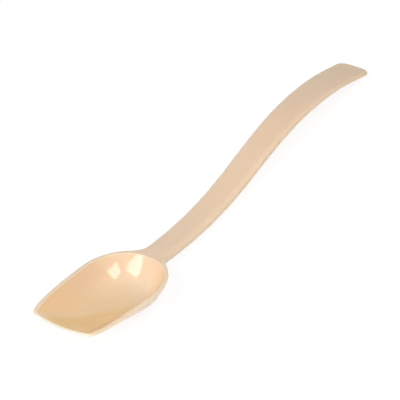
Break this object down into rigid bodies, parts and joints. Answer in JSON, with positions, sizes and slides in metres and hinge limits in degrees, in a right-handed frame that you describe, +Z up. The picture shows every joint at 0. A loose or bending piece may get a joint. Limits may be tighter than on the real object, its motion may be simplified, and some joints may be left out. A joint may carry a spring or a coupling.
{
  "type": "buffet spoon",
  "caption": "Moulded plastic buffet spoon with a square-fronted shovel bowl and a long flat S-curved handle that thins towards its end.",
  "frame": {"origin": "on the surface it lies on, under the middle of its box", "axes": "+X from the front edge of the bowl to the handle's end, +Z up, lying as it comes to rest on the bowl's underside and the handle's end"},
  "size_m": [0.2542, 0.0482, 0.0234],
  "materials": {
    "plastic": "smooth glossy beige moulded plastic, a little translucent"
  },
  "bodies": {
    "root": {"spoon": "plastic"}
  },
  "joints": []
}
